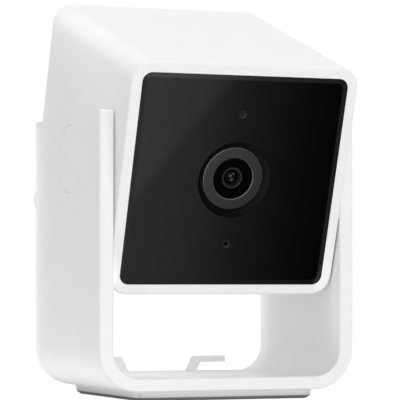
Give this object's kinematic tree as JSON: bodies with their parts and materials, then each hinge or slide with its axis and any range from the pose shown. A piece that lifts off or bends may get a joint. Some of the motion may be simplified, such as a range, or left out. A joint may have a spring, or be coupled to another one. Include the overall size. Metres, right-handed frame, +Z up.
{
  "type": "tilting pet camera",
  "caption": "Small indoor pet camera: a rounded square head with a black glass front and a central lens tilts between the arms of a U-shaped stand with a cable cleat and a padded base.",
  "frame": {"origin": "middle of the rubber pad's underside, on the surface that the camera stands on", "axes": "+X to the right of someone facing the lens, +Y from the front to the back, +Z up"},
  "size_m": [0.06, 0.0715, 0.0905],
  "materials": {
    "white_plastic": "smooth moulded, soft satin",
    "grey_plastic": "smooth moulded",
    "plate_metal": "fine blasted, bevelled",
    "pad_rubber": "matt",
    "steel": "bright zinc",
    "slip_plastic": "smooth bearing plastic",
    "black_glass": "polished, backed in black",
    "clear_glass": "polished, coated",
    "black_plastic": "fine matt",
    "barrel_metal": "black anodised",
    "ring_metal": "dark grey anodised, turned",
    "adhesive": "foam tape",
    "circuit_board": "green solder resist",
    "component": "moulded packages",
    "light_pipe": "clear",
    "filter_glass": "polished",
    "soft_rubber": "soft",
    "sink_metal": "extruded",
    "copper_foil": "flexible film with copper",
    "speaker_metal": "black frame and cone"
  },
  "bodies": {
    "stand": {"stand_bracket": "white_plastic", "base_plate": "plate_metal", "base_pad": "pad_rubber", "base_screws": "steel", "left_pivot_cap": "white_plastic", "right_pivot_cap": "white_plastic", "left_friction_washer": "slip_plastic", "right_friction_washer": "slip_plastic"},
    "head": {"board_screws": "steel", "chassis_screws": "steel", "connector_board": "circuit_board", "connector_board_screws": "steel", "front_chassis": "black_plastic", "front_glass": "black_glass", "front_lens": "clear_glass", "glass_tape": "adhesive", "head_shell": "white_plastic", "heat_sink": "sink_metal", "holder_screws": "steel", "image_sensor": "component", "infrared_lamps": "component", "left_pivot_hub": "slip_plastic", "left_retaining_washer": "steel", "lens_barrel": "barrel_metal", "lens_bezel": "black_plastic", "lens_holder": "black_plastic", "lens_ring": "ring_metal", "light_board": "circuit_board", "light_sensor": "component", "main_board": "circuit_board", "microphone": "component", "microphone_gasket": "soft_rubber", "pivot_screws": "steel", "processor": "black_plastic", "rear_cover": "white_plastic", "rear_cover_screws": "steel", "rear_lens": "clear_glass", "reset_switch": "black_plastic", "ribbon_cable": "copper_foil", "ribbon_connectors": "black_plastic", "right_pivot_hub": "slip_plastic", "right_retaining_washer": "steel", "speaker": "speaker_metal", "speaker_gasket": "soft_rubber", "status_lamp": "component", "status_light_pipe": "light_pipe", "thermal_pad": "soft_rubber", "usb_socket": "steel", "wifi_antenna": "copper_foil"},
    "reset_button": {"reset_button": "grey_plastic"},
    "ir_cut_filter": {"ir_cut_filter": "filter_glass"}
  },
  "joints": [
    {"name": "head_tilt", "type": "hinge", "parent": "stand", "child": "head", "pos_m": [0, -0.0021, 0.05325], "axis": [1, 0, 0], "range_deg": [-38.75, 21.25]},
    {"name": "reset_press", "type": "slide", "parent": "head", "child": "reset_button", "axis": [0, -0.9469, -0.3214], "range_m": [0, 0.0004], "stiffness_N_per_m": 400},
    {"name": "filter_slide", "type": "slide", "parent": "head", "child": "ir_cut_filter", "axis": [-1, 0, 0], "range_m": [0, 0.006]}
  ]
}
